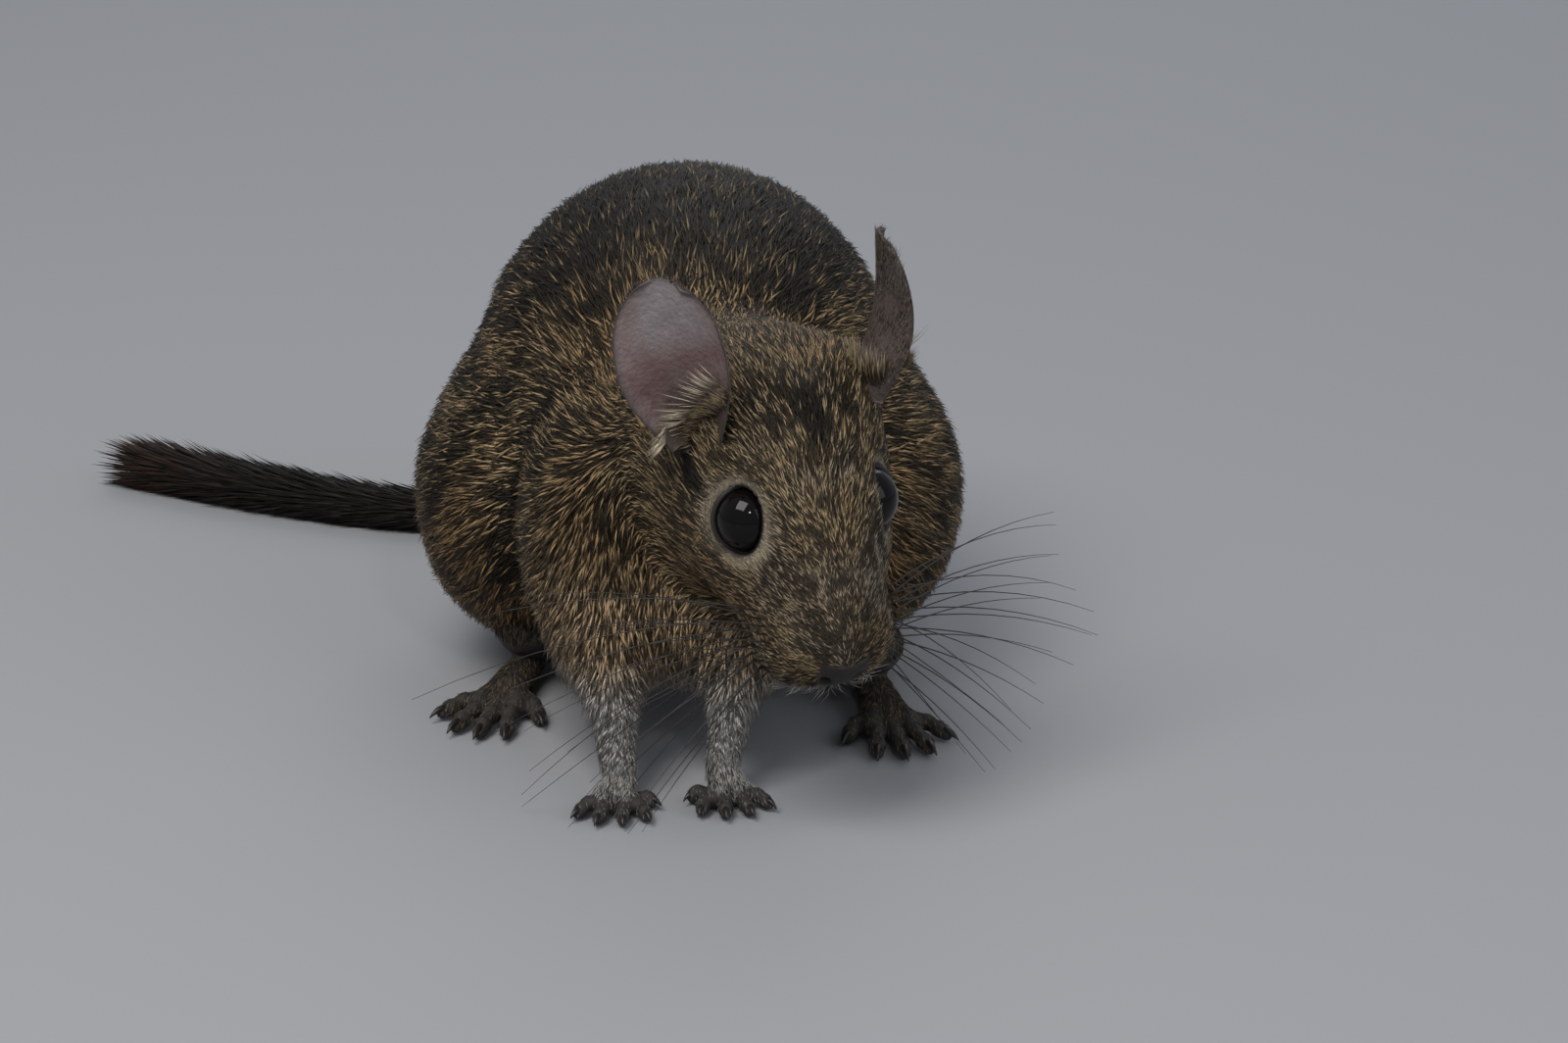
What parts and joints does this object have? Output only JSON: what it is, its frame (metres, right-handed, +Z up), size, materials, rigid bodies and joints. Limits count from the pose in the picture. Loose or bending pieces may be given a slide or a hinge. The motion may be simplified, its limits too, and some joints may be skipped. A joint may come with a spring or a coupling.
{
  "type": "degu model",
  "caption": "Life-size still model of a degu, crouching with its back arched, head lowered and turned, and its brush-tipped tail along the floor.",
  "frame": {"origin": "on the floor under the middle of the whole model's bounding box", "axes": "+Z up; the animal faces -Y, and +X is its left side; its tail and whiskers make Y the longest way"},
  "size_m": [0.1586, 0.1668, 0.0822],
  "materials": {
    "coat": "short brown agouti fur",
    "ear": "nearly bare skin",
    "eye": "wet gloss",
    "leg": "very short pale fur",
    "foot": "dark skin with bristles and claws",
    "tail": "black bristly brush"
  },
  "bodies": {
    "root": {"muzzle": "coat", "head": "coat", "neck": "coat", "torso": "coat", "eye_right": "eye", "ear_right": "ear", "haunch_right": "coat", "foreleg_right": "leg", "forepaw_right": "foot", "hindfoot_right": "foot", "eye_left": "eye", "ear_left": "ear", "haunch_left": "coat", "foreleg_left": "leg", "forepaw_left": "foot", "hindfoot_left": "foot", "tail_base": "tail", "tail_middle": "tail", "tail_tip": "tail"}
  },
  "joints": []
}
